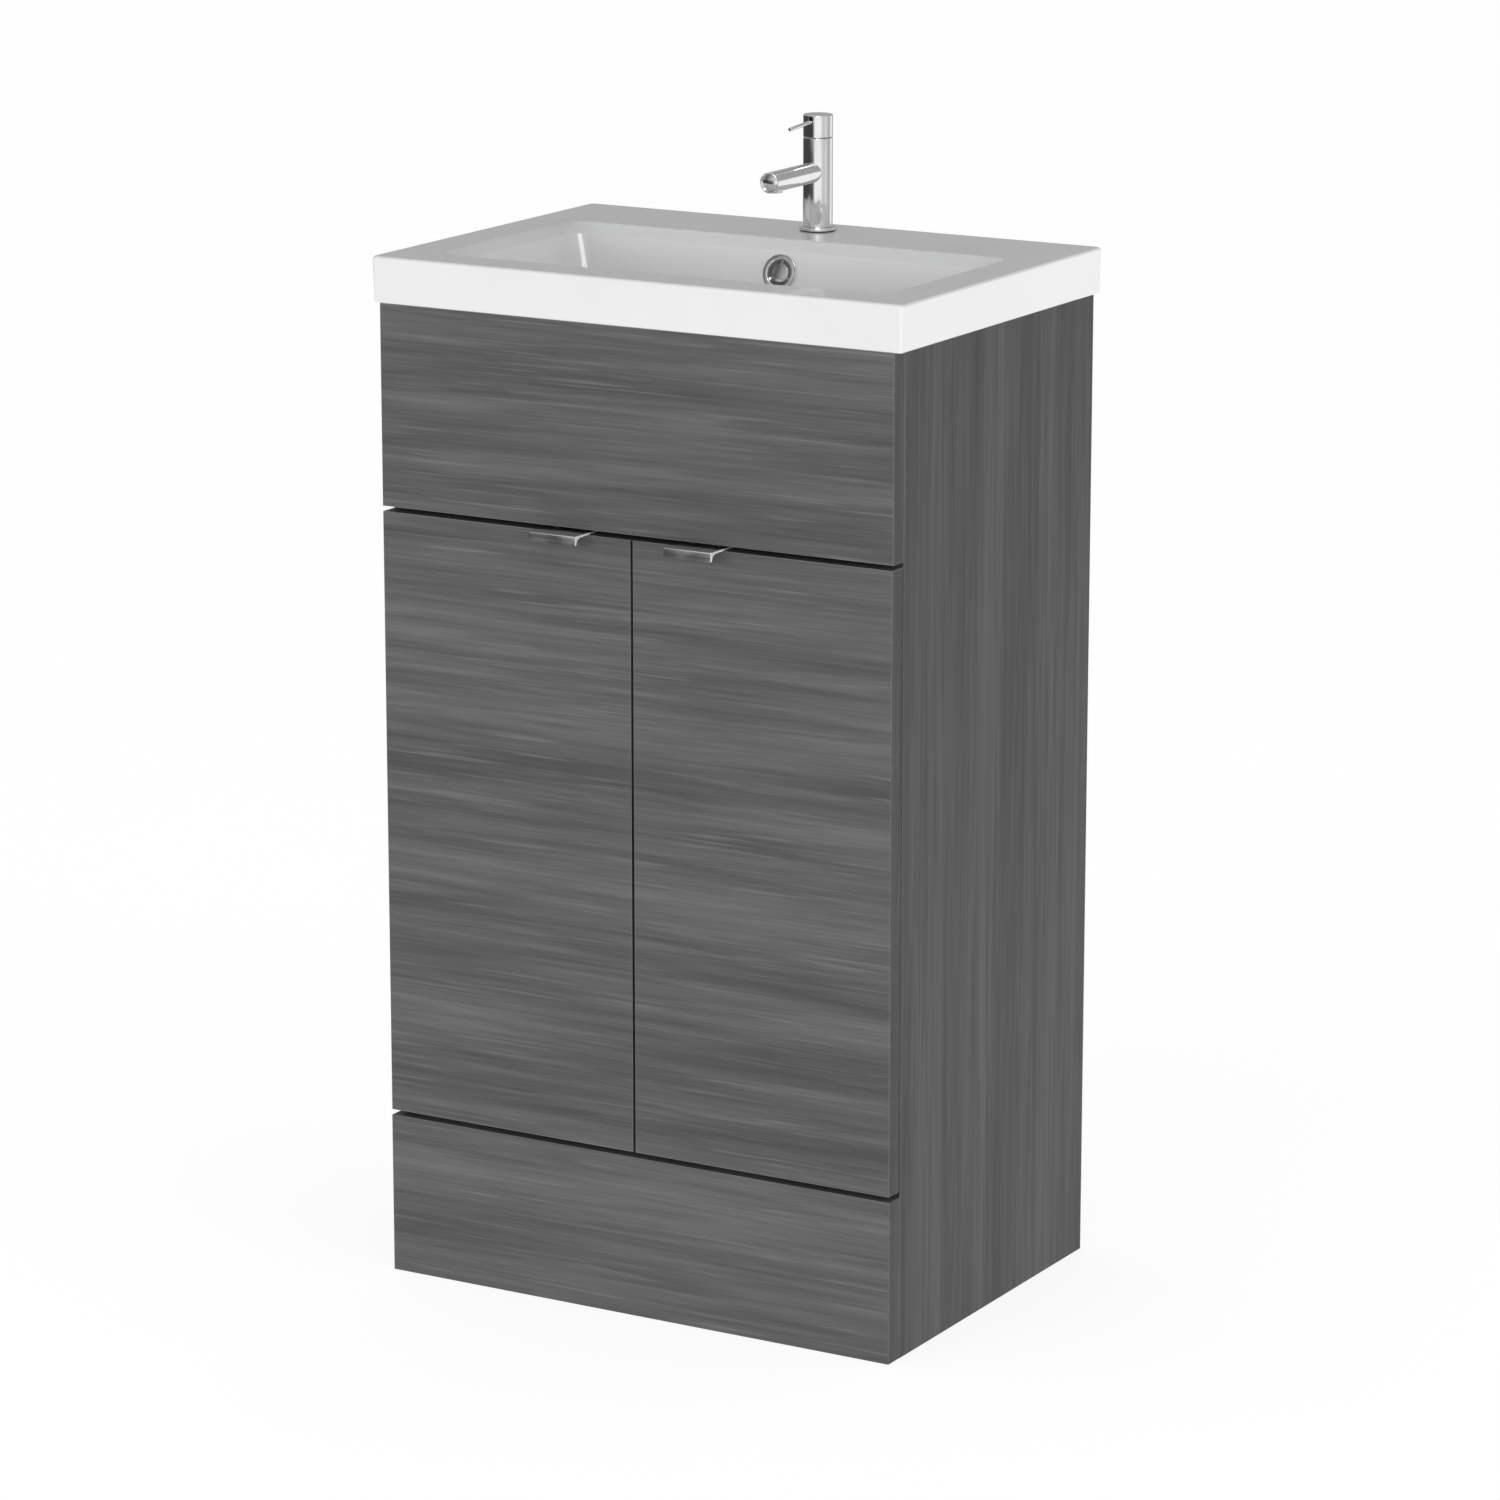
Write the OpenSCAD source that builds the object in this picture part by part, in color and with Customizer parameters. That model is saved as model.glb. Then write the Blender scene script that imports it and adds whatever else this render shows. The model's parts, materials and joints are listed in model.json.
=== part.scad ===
// Floor-standing bathroom vanity unit: a two-door cabinet of 18 mm boards under a one-piece basin,
// with a single-lever tap, a push-to-open waste and concealed hinges.
// X runs to the right, Y to the wall and Z up; the floor is Z = 0.

/* [Cabinet] */
// Width of the cabinet
unit_w = 500; // [440:10:600]
// Depth from the door faces to the wall
unit_d = 357; // [350:1:400]
// Height of the cabinet, to the underside of the basin
case_h = 866; // [860:1:880]
// Thickness of the side panels, rails and bottom
board_t = 18; // [16:1:18]
// Thickness of the doors and fixed front panels
front_t = 18; // [16:1:18]
// Height of the plinth panel
plinth_h = 143.5; // [120:0.5:150]
// Gap between the plinth and the doors
lower_gap = 5; // [3:0.5:6]
// Height of the doors
door_h = 537; // [500:1:540]
// Gap between the doors and the top front panel, which the handle plates sit in
upper_gap = 4.5; // [4:0.5:6]
// Space between the door backs and the cabinet edges, filled by the bumpers
bumper_gap = 0.5; // [0.5:0.1:1]
// Gap between the two doors
door_gap = 2.5; // [2:0.5:4]
// Height of the upper face of the shelf above the floor
shelf_z = 418; // [380:1:440]

/* [Handles] */
// Length of each finger pull along the door edge
handle_w = 46; // [40:1:60]
// How far the finger pull stands out from the door face
handle_reach = 20; // [16:1:24]
// Depth of the turned-down lip
handle_lip = 8; // [6:1:10]
// Distance from the cabinet's centre line to the near end of each finger pull
handle_from_centre = 43; // [30:1:60]
// Thickness of the finger pull's metal
handle_t = 2; // [1.5:0.1:2.5]

/* [Basin] */
// Width of the basin
basin_w = 516; // [510:1:530]
// Height of the visible basin edge
basin_edge = 40; // [36:1:45]
// Thickness of the deck and of the bowl
basin_wall = 9; // [8:0.5:10]
// Width of the bowl at its rim
bowl_w = 432; // [420:1:432]
// Depth of the bowl opening, front to back
bowl_d = 216; // [200:1:216]
// Width of the ledge in front of the bowl
bowl_front = 42; // [40:1:46]
// Depth of the bowl below the rim
bowl_deep = 112; // [100:1:115]
// Corner radius of the bowl at its rim
bowl_corner = 16; // [12:1:30]

/* [Tap] */
// Distance from the wall to the tap's axis
tap_from_wall = 41; // [40:1:44]
// Diameter of the tap's body
tap_d = 26; // [26:0.5:28]
// Height of the tap above the basin
tap_h = 102; // [101:0.5:104]
// Height of the spout's axis above the basin
spout_z = 52; // [50:1:54]
// Distance from the tap's axis to the end of the spout
spout_reach = 86; // [80:1:95]
// Diameter of the spout
spout_d = 18; // [16:0.5:18]
// Distance from the tap's axis to the end of the pin lever
lever_reach = 50; // [45:1:55]
// Diameter of the pin lever
lever_d = 3.5; // [3:0.1:3.6]

/* [Hidden] */

$fn = 64;
eps = 0.05;             // running and drilling clearance
over = 1;               // how far a cutting shape runs past a face

// Front to back. The overall depth, handles included, is centred on Y = 0.
front_y = handle_reach - (handle_reach + unit_d) / 2;
case_y = front_t + bumper_gap;      // cabinet edges, measured from the door faces

// Across
half_w = unit_w / 2;
inner_x = half_w - board_t;
door_edge_x = half_w - 0.5;

// Up
door_z = plinth_h + lower_gap;
door_top_z = door_z + door_h;
fascia_z = door_top_z + upper_gap;
bottom_z = plinth_h - 6.5;
rail_z = door_top_z - 25.5;
rail_h = 100;
lower_rail_h = 80;
deck_z = case_h + basin_edge;

wood = [0.39, 0.39, 0.40];
board_edge = [0.30, 0.30, 0.31];
chrome = [0.80, 0.81, 0.83];
steel = [0.62, 0.63, 0.65];
brass = [0.72, 0.60, 0.32];
rubber = [0.12, 0.12, 0.12];
ceramic = [0.96, 0.96, 0.96];
clear_plastic = [0.86, 0.88, 0.88];
beech = [0.80, 0.66, 0.45];

// Driver cross in a screw's head, as shares of the head's radius and height
cross_r_share = 0.6;
cross_deep_share = 0.6;

// Cam joints: height and depth of each bolt that ties a cross member to the side panels
cam_r = 7.5;
cam_deep = 12.5;
cam_in = 34;            // cam axis, measured from the side panel's inner face
bolt_r = 3;
bolt_thread = 11;       // length of bolt in the side panel
cam_cross_r = 4.5;
cam_cross_deep = 2.5;
cam_back_y = unit_d - board_t / 2;
cam_front_y = case_y + board_t / 2;
rail_bolts = [[cam_front_y, rail_z + 72], [cam_back_y, case_h - 30], [cam_back_y, bottom_z + board_t + 25]];
floor_bolts = [[80, bottom_z + board_t / 2], [290, bottom_z + board_t / 2]];
dowel_r = 4;
dowel_spots = [
    [cam_front_y, rail_z + 28], [cam_back_y, case_h - 70], [cam_back_y, bottom_z + board_t + 58],
    [120, bottom_z + board_t / 2], [250, bottom_z + board_t / 2]
];

// Shelf and its pegs
shelf_y0 = 50;
shelf_y1 = 320;
peg_r = 2.5;
peg_rows = [-32, 0, 32];
peg_y = [80, 290];
peg_z = shelf_z - board_t - peg_r;

// Wall fixing holes in the back top rail
wall_hole_x = 150;
wall_hole_r = 4;
wall_hole_z = case_h - 50;

// Corner brackets behind the top front panel
bracket_z = case_h - 46;
bracket_leg = 28;
bracket_t = 2;
bracket_h = 16;

// Concealed hinges. Each door turns about a vertical line 3 mm in from its outer edge and 2.5 mm
// behind its front face, which keeps its back corner clear of the cabinet's edge.
hinge_z = [door_z + 101.5, door_top_z - 101.5];
cup_x = door_edge_x - 23;
cup_r = 17.45;
cup_wall = 0.95;
cup_deep = 12.5;
cup_flange = 0.8;
cup_screw_dx = 9.5;
cup_screw_dz = 22.5;
arm_x = half_w - 28;    // hinge arm's pivot line
arm_y = 14;
arm_half = 3.5;
arm_half_h = 6;
arm_end_y = 78;
fork_half = 3.2;
link_len = 17;
link_angle = 192;
link_half_h = 2.9;
pin_r = 1.5;
plate_y = case_y + 37;
plate_screw_dz = 16;

// Bowl: [depth, inset] of each level down the wall, then of the outside
bowl_x = bowl_w / 2;
bowl_y = bowl_front + bowl_d / 2;
bowl_levels = [[0, 0], [54, 16], [84, 27], [100, 38], [108, 50], [bowl_deep, 64]];
shell_levels = [[14, -9], [58, 8], [90, 19], [108, 30], [117, 42], [bowl_deep + basin_wall, 56]];
wall_lean = atan(bowl_levels[1][1] / bowl_levels[1][0]);
floor_z = deck_z - bowl_deep;
deck_t = 14;
draft = 1.3;

// Overflow, on the straight upper part of the back wall
overflow_drop = 27;
overflow_y = bowl_front + bowl_d - overflow_drop * tan(wall_lean);
overflow_r = 13;
duct_y = bowl_front + bowl_d + 4;
duct_d = 10;
duct_w = 24;
duct_z = floor_z - 30;
duct_h = 12;
boss_r = 36;
boss_z = floor_z - 44;
waste_hole_r = 23;

// Waste
thread_r = 20.955;
waste_in_r = 16;
waste_end_z = floor_z - 80;
seal_t = 1;
flange_r = 31.5;
flange_t = 3;
seat_z = floor_z + seal_t + flange_t;
stem_r = 4;
plug_r = 30;
plug_gap = 0.2;

// Tap, all heights above the deck
tap_y = unit_d - tap_from_wall;
tap_r = tap_d / 2;
tap_hole_r = 14;
body_z0 = 4;
cap_z0 = 82.4;
socket_z = 19;
socket_r = 10.8;
inlet_r = 4;
inlet_x = 4.7;
inlet_y = -3.5;
inlet_len = 10;
stud_r = 3;
stud_y = 6;
chamber_z = 61;
chamber_r = 10.4;
cap_in_r = 10.6;
cap_roof = 1.8;
lever_y = -6;
lever_z = 97;
lever_rest = 4;
axle_r = 1.2;
hub_r = 2.6;
spout_in_r = 6.5;
passage_r = 5;
aerator_from_end = 12;

// ---------------------------------------------------------------- helpers

// Depths are measured from the door faces inside this
module from_front() translate([0, front_y, 0]) children();

// Shapes are drawn on the left of the cabinet; side = 1 mirrors them to the right
module on_side(side) {
    if (side > 0) mirror([1, 0, 0]) from_front() children();
    else from_front() children();
}

module box(low, high) translate(low) cube(high - low);

// Rod along +X, +Y or +Z from a point
module rod_x(p, r, len) translate(p) rotate([0, 90, 0]) cylinder(r = r, h = len);
module rod_y(p, r, len) translate(p) rotate([-90, 0, 0]) cylinder(r = r, h = len);
module rod_z(p, r, len) translate(p) cylinder(r = r, h = len);

// Tube along +Z
module tube_z(p, r, bore, len) {
    difference() {
        rod_z(p, r, len);
        rod_z(p - [0, 0, over], bore, len + 2 * over);
    }
}

// ---------------------------------------------------------------- joints in the boards

// The five cam bolts of one side, as [y, z]
function bolt_spots() = concat(rail_bolts, floor_bolts);

module cam_bolts_left(clear) {
    for (s = bolt_spots())
        rod_x([-inner_x - bolt_thread, s[0], s[1]], bolt_r + clear, bolt_thread + cam_in - cam_r);
}

// Cams lie in the inner faces of the rails and in the underside of the bottom
module cams_left(clear) {
    front = rail_bolts[0];
    rod_y([-inner_x + cam_in, case_y + board_t - cam_deep, front[1]], cam_r + clear, cam_deep);
    for (s = [rail_bolts[1], rail_bolts[2]])
        rod_y([-inner_x + cam_in, unit_d - board_t, s[1]], cam_r + clear, cam_deep);
    for (s = floor_bolts)
        rod_z([-inner_x + cam_in, s[0], bottom_z], cam_r + clear, cam_deep);
}

module dowels_left(clear) {
    for (s = dowel_spots)
        rod_x([-inner_x - bolt_thread, s[0], s[1]], dowel_r + clear, 2 * bolt_thread + 8);
}

module joint_holes_left() {
    cam_bolts_left(eps);
    cams_left(eps);
    dowels_left(eps);
}

module joint_holes() for (m = [0, 1]) mirror([m, 0, 0]) joint_holes_left();

// Cross for a driver, cut down from z = 0
module driver_cross(r, deep) {
    for (turn = [0, 90]) rotate([0, 0, turn]) box([-r, -r / 4, -deep], [r, r / 4, over]);
}

// A pan-head screw pointing along +Z, its head resting at z = 0. With a clearance it cuts its own hole.
module screw(shank_r, len, head_r, head_h, clear) {
    cylinder(r = shank_r + clear, h = len);
    translate([0, 0, -head_h]) difference() {
        cylinder(r = head_r, h = head_h);
        if (clear == 0) rotate([180, 0, 0]) driver_cross(head_r * cross_r_share, head_h * cross_deep_share);
    }
}

// ---------------------------------------------------------------- cabinet

module bracket_screws_left(clear) {
    mid = bracket_z + bracket_h / 2;
    translate([-inner_x + bracket_t, case_y + 20, mid])
        rotate([0, -90, 0]) screw(1.75, 13, 3.6, 1.8, clear);
    translate([-inner_x + 18, case_y + bracket_t, mid])
        rotate([90, 0, 0]) screw(1.75, 13, 3.6, 1.8, clear);
}

module side_panel(side) {
    color(wood) on_side(side) difference() {
        box([-half_w, case_y, 0], [-inner_x, unit_d, case_h]);
        joint_holes_left();
        for (y = peg_y, dz = peg_rows)
            rod_x([-inner_x - 10, y, peg_z + dz], peg_r, 10 + over);
        plate_screws_left(eps);
        bracket_screws_left(eps);
    }
}

module left_side_panel() side_panel(0);
module right_side_panel() side_panel(1);

module bottom_panel() {
    color(wood) from_front() difference() {
        box([-inner_x, case_y, bottom_z], [inner_x, unit_d, bottom_z + board_t]);
        joint_holes();
    }
}

module shelf() {
    color(wood) from_front()
        box([-inner_x + 1, shelf_y0, shelf_z - board_t], [inner_x - 1, shelf_y1, shelf_z]);
}

module shelf_pegs() {
    color(steel) from_front()
        for (m = [0, 1], y = peg_y) mirror([m, 0, 0]) {
            rod_x([-inner_x - 9, y, peg_z], peg_r - eps, 17);
            rod_x([-inner_x + 0.1, y, peg_z], peg_r - eps + 1.2, 0.8);
        }
}

module top_front_panel() {
    color(wood) from_front() difference() {
        box([-half_w, bumper_gap, fascia_z], [half_w, case_y, case_h]);
        for (m = [0, 1]) mirror([m, 0, 0]) bracket_screws_left(eps);
    }
}

module plinth_panel() {
    color(wood) from_front() box([-half_w, bumper_gap, 0], [half_w, case_y, plinth_h]);
}

module front_rail() {
    color(board_edge) from_front() difference() {
        box([-inner_x, case_y, rail_z], [inner_x, case_y + board_t, rail_z + rail_h]);
        joint_holes();
    }
}

module back_rail(z, h) {
    difference() {
        box([-inner_x, unit_d - board_t, z], [inner_x, unit_d, z + h]);
        joint_holes();
    }
}

module back_top_rail() {
    color(wood) from_front() difference() {
        back_rail(case_h - rail_h, rail_h);
        for (s = [-1, 1])
            rod_y([s * wall_hole_x, unit_d - board_t - over, wall_hole_z], wall_hole_r, board_t + 2 * over);
    }
}

module back_lower_rail() {
    color(wood) from_front() back_rail(bottom_z + board_t, lower_rail_h);
}

// Driver crosses in the open faces of the cams
module cam_crosses_left() {
    x = -inner_x + cam_in;
    front = rail_bolts[0];
    translate([x, case_y + board_t, front[1]]) rotate([-90, 0, 0]) driver_cross(cam_cross_r, cam_cross_deep);
    for (s = [rail_bolts[1], rail_bolts[2]])
        translate([x, unit_d - board_t, s[1]]) rotate([90, 0, 0]) driver_cross(cam_cross_r, cam_cross_deep);
    for (s = floor_bolts)
        translate([x, s[0], bottom_z]) rotate([180, 0, 0]) driver_cross(cam_cross_r, cam_cross_deep);
}

// Zinc cams that pull the bolts and lock the boards
module cam_locks() {
    color(steel) from_front() for (m = [0, 1]) mirror([m, 0, 0]) difference() {
        cams_left(0);
        cam_bolts_left(eps);
        cam_crosses_left();
    }
}

module cam_bolts() color(steel) from_front() for (m = [0, 1]) mirror([m, 0, 0]) cam_bolts_left(0);

module dowels() color(beech) from_front() for (m = [0, 1]) mirror([m, 0, 0]) dowels_left(0);

module corner_brackets() {
    x0 = -inner_x;
    color(steel) from_front() for (m = [0, 1]) mirror([m, 0, 0]) difference() {
        union() {
            box([x0, case_y, bracket_z], [x0 + bracket_t, case_y + bracket_leg, bracket_z + bracket_h]);
            box([x0, case_y, bracket_z], [x0 + bracket_leg, case_y + bracket_t, bracket_z + bracket_h]);
        }
        bracket_screws_left(eps);
    }
}

module bracket_screws() color(steel) from_front() for (m = [0, 1]) mirror([m, 0, 0]) bracket_screws_left(0);

// ---------------------------------------------------------------- doors

module handle_screws_left(clear) {
    for (dx = [0.22, 0.78]) translate([-handle_from_centre - handle_w * dx, front_t / 2, door_top_z]) {
        translate([0, 0, -18]) cylinder(r = 1.6 + clear, h = 18.2);
        difference() {
            translate([0, 0, 0.1]) cylinder(r1 = 1.6 + clear, r2 = 3.2 + clear, h = 1.7);
            if (clear == 0) translate([0, 0, 1.8]) driver_cross(1.9, 1);
        }
    }
}

module door_panel(side) {
    color(wood) on_side(side) difference() {
        box([-door_edge_x, 0, door_z], [-door_gap / 2, front_t, door_top_z]);
        for (z = hinge_z) cup_blank(z, eps, over);
        cup_screws_left(eps);
        handle_screws_left(eps);
    }
}

module left_door_panel() door_panel(0);
module right_door_panel() door_panel(1);

// A flat plate on the door's top edge that runs forward and turns down into a lip
module handle(side) {
    x1 = -handle_from_centre;
    x0 = x1 - handle_w;
    top = door_top_z + handle_t;
    color(chrome) on_side(side) difference() {
        union() {
            box([x0, -handle_reach, door_top_z], [x1, front_t, top]);
            box([x0, -handle_reach, top - handle_lip], [x1, -handle_reach + handle_t, top]);
        }
        handle_screws_left(eps);
    }
}

module left_handle() handle(0);
module right_handle() handle(1);
module left_handle_screws() color(steel) on_side(0) handle_screws_left(0);
module right_handle_screws() color(steel) on_side(1) handle_screws_left(0);

module door_bumpers(side) {
    color(clear_plastic) on_side(side)
        for (z = [door_z + 4.2, door_top_z - 10])
            rod_y([-door_gap / 2 - 12, front_t, z], 4, bumper_gap - 0.1);
}

module left_door_bumpers() door_bumpers(0);
module right_door_bumpers() door_bumpers(1);

// ---------------------------------------------------------------- hinges

module cup_screws_left(clear) {
    for (z = hinge_z, s = [-1, 1])
        translate([-cup_x + cup_screw_dx, front_t, z + s * cup_screw_dz])
            rotate([90, 0, 0]) screw(1.75, 12, 3.4, 1.6, clear);
}

// Outside of a hinge cup: the cup and the wings that its screws hold, flush with the door's back
module cup_blank(z, clear, past) {
    wing = 6 + clear;
    rod_y([-cup_x, front_t - cup_deep, z], cup_r + clear, cup_deep + past);
    box([-cup_x + cup_screw_dx - wing, front_t - cup_flange, z - cup_screw_dz - wing],
        [-cup_x + cup_screw_dx + wing, front_t + past, z + cup_screw_dz + wing]);
}

// Pressed steel cup, open towards the cabinet, with a screwed wing on each side
module hinge_cups(side) {
    color(steel) on_side(side) for (z = hinge_z) difference() {
        cup_blank(z, 0, 0);
        rod_y([-cup_x, front_t - cup_deep + cup_wall, z], cup_r - cup_wall, cup_deep + over);
        cup_screws_left(eps);
    }
}

module left_hinge_cups() hinge_cups(0);
module right_hinge_cups() hinge_cups(1);
module left_cup_screws() color(steel) on_side(0) cup_screws_left(0);
module right_cup_screws() color(steel) on_side(1) cup_screws_left(0);

// Link between the arm's fork and the cup, on the arm's pin
module hinge_links(side) {
    eye_r = 2.9;
    bar = 1.6;
    bar_start = 2;
    end_r = 1.9;
    color(steel) on_side(side) for (z = hinge_z)
        translate([-arm_x, arm_y, z - link_half_h]) difference() {
            union() {
                cylinder(r = eye_r, h = 2 * link_half_h);
                rotate([0, 0, link_angle]) {
                    translate([bar_start, -bar, 0])
                        cube([link_len - bar_start, 2 * bar, 2 * link_half_h]);
                    translate([link_len, 0, 0]) cylinder(r = end_r, h = 2 * link_half_h);
                }
            }
            translate([0, 0, -over]) cylinder(r = pin_r + eps, h = 2 * link_half_h + 2 * over);
        }
}

module left_hinge_links() hinge_links(0);
module right_hinge_links() hinge_links(1);

// Straight arm along the side panel, forked at the front round the link
module hinge_arms(side) {
    color(steel) on_side(side) for (z = hinge_z) difference() {
        box([-arm_x - arm_half, arm_y - arm_half, z - arm_half_h], [-arm_x + arm_half, arm_end_y, z + arm_half_h]);
        box([-arm_x - arm_half - over, 0, z - fork_half], [-arm_x + arm_half + over, arm_y + 4.2, z + fork_half]);
        rod_z([-arm_x, arm_y, z - arm_half_h - over], pin_r + 0.02, 2 * arm_half_h + 2 * over);
    }
}

module left_hinge_arms() hinge_arms(0);
module right_hinge_arms() hinge_arms(1);

module hinge_pins(side) {
    color(steel) on_side(side)
        for (z = hinge_z) rod_z([-arm_x, arm_y, z - arm_half_h], pin_r, 2 * arm_half_h);
}

module left_hinge_pins() hinge_pins(0);
module right_hinge_pins() hinge_pins(1);

module plate_screws_left(clear) {
    for (z = hinge_z, s = [-1, 1])
        translate([-inner_x + 2, plate_y, z + s * plate_screw_dz])
            rotate([0, -90, 0]) screw(2, 13, 3.8, 1.8, clear);
}

// Cross-shaped mounting plate, screwed to the side panel 37 mm behind its front edge
module hinge_plates(side) {
    color(steel) on_side(side) for (z = hinge_z) difference() {
        union() {
            box([-inner_x, plate_y - 8, z - 24], [-inner_x + 2, plate_y + 8, z + 24]);
            box([-inner_x, plate_y - 16, z - 7], [-arm_x - arm_half, arm_end_y, z + 7]);
        }
        plate_screws_left(eps);
    }
}

module left_hinge_plates() hinge_plates(0);
module right_hinge_plates() hinge_plates(1);
module left_plate_screws() color(steel) on_side(0) plate_screws_left(0);
module right_plate_screws() color(steel) on_side(1) plate_screws_left(0);

// ---------------------------------------------------------------- basin

// Convex bowl form through levels of [depth, inset], each a rectangle with round corners
module bowl_form(levels) {
    hull() for (level = levels, sx = [-1, 1], sy = [-1, 1]) {
        r = bowl_corner + level[1] * 0.3;
        translate([
            sx * (bowl_x - level[1] - r), bowl_y + sy * (bowl_d / 2 - level[1] - r), deck_z - level[0]
        ]) cylinder(r = r, h = 0.1, $fn = 32);
    }
}

// Slab with a slight draft, wider at the top
module basin_slab() {
    hull() {
        translate([0, 0, deck_z - 0.1])
            box([-basin_w / 2, 0, 0], [basin_w / 2, unit_d, 0.1]);
        translate([0, 0, case_h])
            box([-basin_w / 2 + draft, draft, 0], [basin_w / 2 - draft, unit_d, 0.1]);
    }
}

// Places a shape at the overflow, with +Z out of the back wall into the bowl
module at_overflow() {
    translate([0, overflow_y, deck_z - overflow_drop]) rotate([90 - wall_lean, 0, 0]) children();
}

module basin() {
    color(ceramic) from_front() difference() {
        union() {
            difference() {
                basin_slab();
                box([-bowl_x - basin_wall, bowl_front + bowl_d + basin_wall, case_h - over],
                    [bowl_x + basin_wall, unit_d - board_t, deck_z - deck_t]);
            }
            bowl_form(shell_levels);
            box([-duct_w / 2 - 6, duct_y - 20, boss_z + 8], [duct_w / 2 + 6, duct_y + duct_d + 8, deck_z - 12]);
            box([-duct_w / 2 - 6, bowl_y, boss_z + 8], [duct_w / 2 + 6, duct_y, floor_z - 4]);
            rod_z([0, bowl_y, boss_z], boss_r, floor_z - boss_z - 2);
        }
        bowl_form(concat([[-over, 0]], bowl_levels));
        box([-duct_w / 2, duct_y, duct_z], [duct_w / 2, duct_y + duct_d, deck_z - 14]);
        box([-duct_w / 2, bowl_y, duct_z], [duct_w / 2, duct_y + over, duct_z + duct_h]);
        rod_z([0, bowl_y, boss_z - over], waste_hole_r, bowl_deep);
        at_overflow() translate([0, 0, -18]) cylinder(r = overflow_r, h = 24);
        rod_z([0, tap_y, deck_z - deck_t - over], tap_hole_r, deck_t + 2 * over);
    }
}

// Push-fit trim ring with its sleeve in the overflow hole
module overflow_ring() {
    color(chrome) from_front() at_overflow() difference() {
        union() {
            cylinder(r = 16.5, h = 2.4);
            translate([0, 0, -9]) cylinder(r = overflow_r - eps, h = 10);
        }
        translate([0, 0, -10]) cylinder(r = 11.4, h = 14);
    }
}

// Disc in the middle of the ring, carried on three arms
module overflow_disc() {
    color(chrome) from_front() at_overflow() {
        translate([0, 0, -1.2]) cylinder(r = 8, h = 2);
        for (a = [30, 150, 270]) rotate([0, 0, a])
            translate([0, -1, -3.2]) cube([11.38, 2, 2.2]);
        translate([0, 0, -3.2]) cylinder(r = 3, h = 2.5);
    }
}

// ---------------------------------------------------------------- waste

// Flange, threaded tube with overflow slots, and the guide that holds the plug's stem
module waste_body() {
    guide_z = floor_z - 20;
    color(chrome) from_front() translate([0, bowl_y, 0]) {
        difference() {
            union() {
                rod_z([0, 0, seat_z - flange_t], flange_r, flange_t);
                rod_z([0, 0, waste_end_z], thread_r, seat_z - waste_end_z - 1);
            }
            rod_z([0, 0, waste_end_z - over], waste_in_r, seat_z - waste_end_z + 2 * over);
            tube_z([0, 0, boss_z - 15], thread_r + over, thread_r - 0.5, 1);
            for (a = [0, 90]) rotate([0, 0, a])
                box([-25, -6, duct_z + 1], [25, 6, duct_z + duct_h - 1]);
        }
        difference() {
            union() {
                rod_z([0, 0, guide_z], 6.5, 12);
                for (a = [45, 165, 285]) rotate([0, 0, a])
                    box([0, -1.25, guide_z], [waste_in_r + 1, 1.25, guide_z + 6]);
            }
            rod_z([0, 0, guide_z - over], stem_r + eps, 14);
        }
    }
}

module waste_seal(z, h, r) {
    color(rubber) from_front() tube_z([0, bowl_y, z], r, thread_r + eps, h);
}

module waste_top_seal() waste_seal(floor_z, seal_t, 30.5);
module waste_bottom_seal() waste_seal(boss_z - 4, 4, 29);

module waste_nut() {
    color(brass) from_front() translate([0, bowl_y, boss_z - 14]) difference() {
        cylinder(r = 29, h = 10, $fn = 6);
        translate([0, 0, -over]) cylinder(r = thread_r + eps, h = 12);
    }
}

// Low domed cap on a stem; it rises to open
module waste_plug() {
    z0 = seat_z + plug_gap;
    color(chrome) from_front() translate([0, bowl_y, 0]) {
        translate([0, 0, z0]) cylinder(r = plug_r, h = 3.4);
        translate([0, 0, z0 + 3.3]) cylinder(r1 = plug_r - 0.6, r2 = plug_r - 5, h = 1.6);
        rod_z([0, 0, floor_z - 34], stem_r, z0 - floor_z + 34 + 1);
    }
}

// ---------------------------------------------------------------- tap

// Heights inside this are measured from the basin's deck
module at_tap() translate([0, front_y + tap_y, deck_z]) children();

module tap_seal() color(rubber) at_tap() tube_z([0, 0, 0], tap_r + 2.4, 12, 1);

module tap_base_ring() {
    color(chrome) at_tap() difference() {
        union() {
            rod_z([0, 0, 1], tap_r + 3, 2);
            translate([0, 0, 3]) cylinder(r1 = tap_r + 3, r2 = tap_r + 2, h = 1);
        }
        cylinder(r = socket_r, h = 6);
    }
}

// Brass body: socket for the tails and stud below, cartridge chamber above, outlet to the spout
module tap_body() {
    color(chrome) at_tap() difference() {
        rod_z([0, 0, body_z0], tap_r, cap_z0 - 0.4 - body_z0);
        rod_z([0, 0, body_z0 - over], socket_r, socket_z - body_z0 + over);
        for (s = [-1, 1])
            rod_z([s * inlet_x, inlet_y, socket_z - over], inlet_r, inlet_len + over);
        rod_z([0, stud_y, socket_z - over], stud_r + eps, inlet_len + over);
        rod_z([0, 0, chamber_z], chamber_r, cap_z0);
        rod_z([0, 0, spout_z], passage_r - 1, chamber_z - spout_z + over);
        rod_y([0, -tap_r - over, spout_z], passage_r, tap_r + over);
    }
}

module tap_spout() {
    wall = 2.5;
    color(chrome) at_tap() difference() {
        rod_y([0, -spout_reach, spout_z], spout_d / 2, spout_reach);
        rod_y([0, -spout_reach + wall, spout_z], spout_in_r, spout_reach);
        rod_z([0, 0, spout_z - spout_d], tap_r + 0.02, 2 * spout_d);
        rod_z([0, -spout_reach + aerator_from_end, spout_z - spout_d], 6 + eps, spout_d);
    }
}

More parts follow.
